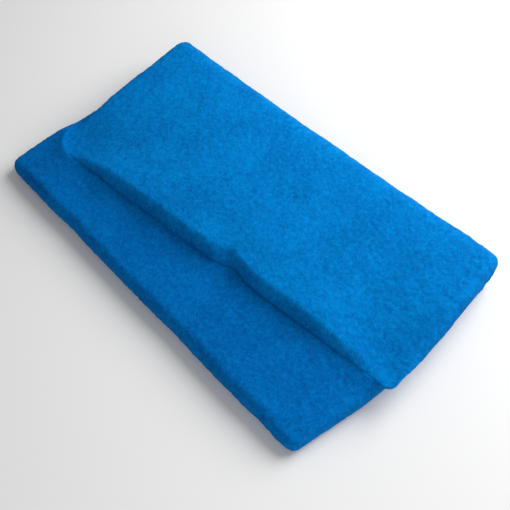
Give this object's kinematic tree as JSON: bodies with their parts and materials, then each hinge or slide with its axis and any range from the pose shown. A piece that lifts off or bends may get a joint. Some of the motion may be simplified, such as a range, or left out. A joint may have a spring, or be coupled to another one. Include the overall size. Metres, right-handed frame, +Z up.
{
  "type": "filter mat",
  "caption": "Square pad of blue bonded-fibre filter mat for ponds and tanks, folded over once with a soft rounded fold; the flap opens flat.",
  "frame": {"origin": "middle of the folded mat's footprint, on the surface it lies on", "axes": "+X along the fold, +Y towards the fold's rounded back, +Z up out of the flap's top face"},
  "size_m": [0.5244, 0.3037, 0.0503],
  "materials": {
    "face_web": "matte bonded polyester fibre, fine felt-like mottling, blue",
    "core": "matte open lofty polyester fibre, blue"
  },
  "bodies": {
    "lower_panel": {"lower_outer_web": "face_web", "lower_core": "core", "lower_inner_web": "face_web", "fold_outer_web": "face_web", "fold_core": "core", "fold_inner_web": "face_web"},
    "flap_panel": {"flap_inner_web": "face_web", "flap_core": "core", "flap_outer_web": "face_web"}
  },
  "joints": [
    {"name": "fold_hinge", "type": "hinge", "parent": "lower_panel", "child": "flap_panel", "pos_m": [0, 0.1267, 0.02515], "axis": [-1, 0, 0], "range_deg": [0, 180], "deforming": ["fold_outer_web", "fold_core", "fold_inner_web"]}
  ]
}
